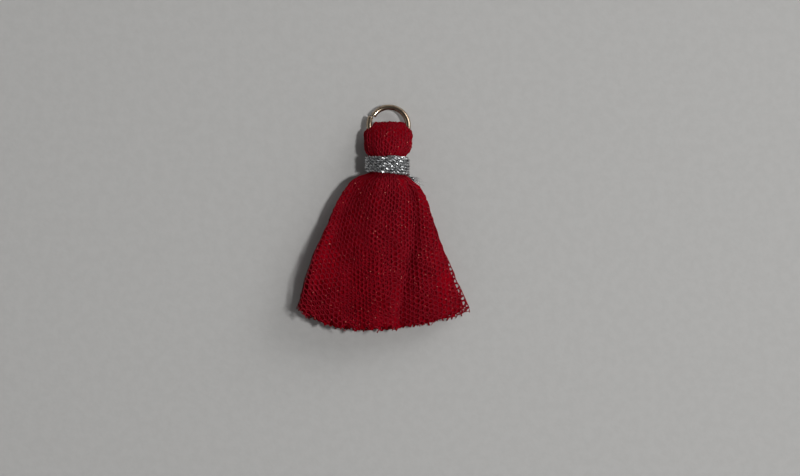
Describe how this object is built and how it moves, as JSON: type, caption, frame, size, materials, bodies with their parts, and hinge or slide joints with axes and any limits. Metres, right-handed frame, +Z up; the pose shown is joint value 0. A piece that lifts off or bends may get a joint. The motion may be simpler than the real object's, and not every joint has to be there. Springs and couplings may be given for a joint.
{
  "type": "tulle tassel with jump ring",
  "caption": "Small crimson net tassel: tulle strips looped through an open jump ring, bound below it with silver-grey metallic thread and fanned out to a cut hem.",
  "frame": {"origin": "on the surface the tassel lies on, under the middle of its outline seen from above", "axes": "+Y along the tassel from the hem to the jump ring, +Z up from the surface through the front, +X to the right seen from above"},
  "size_m": [0.031, 0.0412, 0.007],
  "materials": {
    "tulle": "fine hexagonal net, matt with small glints",
    "thread": "twisted metallic thread, silver grey",
    "ring": "polished pale gold plate"
  },
  "bodies": {
    "root": {"tulle_outer_strip": "tulle", "tulle_inner_strip": "tulle", "jump_ring": "ring", "binding_thread": "thread", "thread_tail": "thread"}
  },
  "joints": []
}
